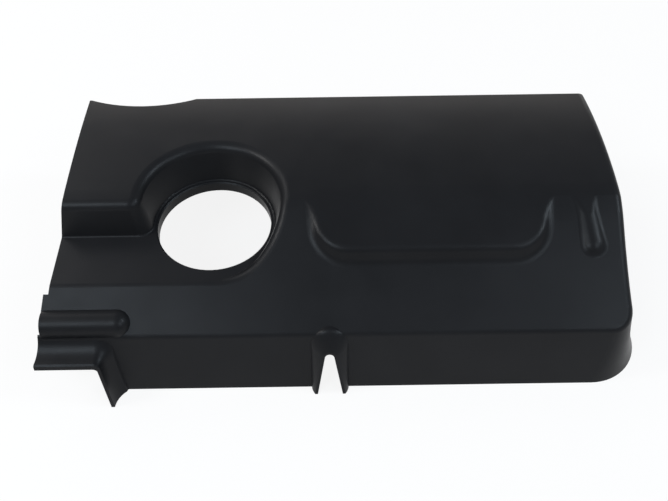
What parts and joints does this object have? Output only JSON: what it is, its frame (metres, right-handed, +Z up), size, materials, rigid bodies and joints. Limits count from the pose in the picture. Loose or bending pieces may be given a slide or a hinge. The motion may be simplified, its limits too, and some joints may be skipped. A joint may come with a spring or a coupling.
{
  "type": "engine cover",
  "caption": "Black moulded engine cover shell with a crowned deck, a stepped well round a filler hole, a raised pad, a sloped front skirt with a hooded notch, and stud sockets below.",
  "frame": {"origin": "middle of the shell's bounding box, in the plane of the rim that it rests on", "axes": "+X along the length, towards the rounded end; +Y from the front skirt to the rear wall; +Z up"},
  "size_m": [0.46, 0.242, 0.102],
  "materials": {
    "black_plastic": "satin moulded, fine grain"
  },
  "bodies": {
    "root": {"engine_cover": "black_plastic"}
  },
  "joints": []
}
